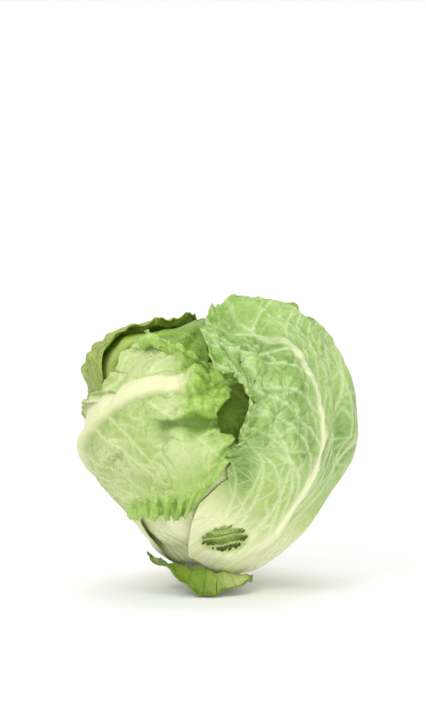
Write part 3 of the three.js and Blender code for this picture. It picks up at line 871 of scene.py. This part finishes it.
deselect_all()
bpy.ops.mesh.primitive_grid_add(x_subdivisions=150, y_subdivisions=90, size=2)
fallen = bpy.context.object
flat = corners_of(fallen)
t, v = flat[:, 0], (flat[:, 1] + 1) / 2
rounding = np.where(t < 0, FALLEN_LEFT_ROUNDING, FALLEN_RIGHT_ROUNDING)
reach = FALLEN_REACH * (1 - rounding * np.abs(t) ** 1.5) - 4 * ragged(t * 60 + 90, 77, 15, 4) * v
radius = FALLEN_ROOT + reach * v
azimuth = FALLEN_AZIMUTH + np.where(t < 0, FALLEN_LEFT_TURN, FALLEN_RIGHT_TURN) * t
swing = np.radians(azimuth)
out = np.full(len(t), BALL_MIDDLE.z / MM)
last_beneath = [leaf["name"] for leaf in laid_leaves].index("front_base_leaf")
for _ in range(4):
    polar = np.degrees(np.arcsin(radius / out))
    out = resting_radius(direction(polar, azimuth), last_beneath + 1)
room = BALL_MIDDLE.z / MM - out * np.cos(np.radians(polar)) - GROUND_CLEARANCE
lift = 0.72 * climb(-t, 0, 0.55) + 0.16 * climb(-t, 0.6, 1) + 0.6 * climb(t, 0.1, 1)
held_to = 0.3 + 0.15 * climb(-t, 0.1, 0.6)
fall = (1 - lift) * climb((v - held_to) / (1 - held_to), 0, 0.9)
room -= (0.5 + 3 * climb(-t, 0, 0.3)) * climb(v, 0.6, 0)
spot = np.stack([radius * np.sin(swing), radius * np.cos(swing)], 1)
crinkle = 0.7 * waves(spot, 14, 78) + 0.4 * waves(spot, 6, 79) + v**2 * np.sin(t * 21 + 2 * np.sin(t * 7))
height = room - (room - GROUND_CLEARANCE) * fall + crinkle * climb(v, 0.05, 0.4)
height = np.clip(height, LOWEST_OUTSIDE, room)
move_corners(fallen, np.stack([spot[:, 0], -spot[:, 1], height], 1) * MM)
edge = np.minimum((1 - np.abs(t)) * 45, (1 - v) * 31)
# Painted light and shade: beyond its green edge the rim is painted pale at the right as if lit and dark at
# the left as if shaded. The last mask is painted shade along crinkles.
side = climb(t, -0.1, 0.75)
give_leaf_maps(fallen, t * 45, v * 31, np.maximum(0.85 * side * climb(edge, 1, 6), climb(v, 0.12, 0)),
               climb(waves(spot, 9, 80), 0.6, 1.1), np.exp(-((edge / 9) ** 1.5)) * (1 - 0.6 * side),
               0.6 * climb(np.abs(waves(spot, 8, 81)), 0.1, 0))
solid = fallen.modifiers.new("thickness", "SOLIDIFY")
solid.thickness = FALLEN_THICKNESS * MM
solid.offset = -1
apply_modifiers(fallen)
fallen_blade = leaf_material(
    "fallen_blade", rib=(198, 208, 140), vein=(140, 168, 62), pale=(112, 142, 30), green=(86, 116, 12),
    low=(118, 146, 40), margin=(82, 112, 8), crease_shade=(56, 80, 6))
put_in_place(fallen, "fallen_leaf", "fallen_base_leaf", fallen_blade)

# ---------------------------------------------------------------------------------------------------
# The table, the soft light and the camera. A plain pale sweep, and big soft lamps in front and above.
# ---------------------------------------------------------------------------------------------------
deselect_all()
bpy.ops.mesh.primitive_grid_add(x_subdivisions=2, y_subdivisions=80, size=2)
sweep = bpy.context.object
flat = corners_of(sweep)
run = (flat[:, 1] + 1) * 2.6 - 2.0
past = np.maximum(0, run - 0.7)
bend_round = np.minimum(past / 0.9, math.pi / 2)
move_corners(sweep, np.stack([flat[:, 0] * 4, np.minimum(run, 0.7) + 0.9 * np.sin(bend_round),
                              0.9 * (1 - np.cos(bend_round)) + np.maximum(0, past - 0.9 * math.pi / 2)], 1))
sweep.name = "table_sweep"
bpy.ops.object.shade_smooth()
table, nodes, shader = new_material("table_white")
nodes.feed(shader, "Base Color", (0.86, 0.86, 0.86, 1))
nodes.feed(shader, "Roughness", 0.85)
nodes.feed(shader, "Specular IOR Level", 0.1)
sweep.data.materials.append(table)

world = bpy.data.worlds.new("studio")
bpy.context.scene.world = world
world.use_nodes = True
world.node_tree.nodes["Background"].inputs[0].default_value = (1, 1, 1, 1)
world.node_tree.nodes["Background"].inputs[1].default_value = 0.75


def lamp(name, place, aim, size, power):
    light = bpy.data.lights.new(name, "AREA")
    light.size = size
    light.energy = power
    lamp_object = bpy.data.objects.new(name, light)
    bpy.context.scene.collection.objects.link(lamp_object)
    lamp_object.location = place
    lamp_object.rotation_euler = (Vector(aim) - Vector(place)).to_track_quat("-Z", "Y").to_euler()


lamp("key_lamp", (-0.9, -1.1, 1.3), (0, 0, 0.08), 0.9, 15)
lamp("fill_lamp", (1.2, -1.0, 0.7), (0, 0, 0.08), 1.0, 6)
lamp("low_lamp", (0.0, -1.3, 0.25), (0, 0, 0.05), 0.6, 3.5)
lamp("top_lamp", (0.1, 0.3, 1.5), (0, 0, 0.08), 0.9, 8)

CAMERA_RISE = math.radians(3)
CAMERA_DISTANCE = 1.2
aim = Vector((-0.0003, 0, 0.137))
camera = bpy.data.objects.new("camera", bpy.data.cameras.new("camera"))
bpy.context.scene.collection.objects.link(camera)
camera.data.lens = 100
camera.location = aim + CAMERA_DISTANCE * Vector((0, -math.cos(CAMERA_RISE), math.sin(CAMERA_RISE)))
camera.rotation_euler = (aim - camera.location).to_track_quat("-Z", "Y").to_euler()
bpy.context.scene.camera = camera
bpy.context.scene.view_settings.view_transform = "Standard"
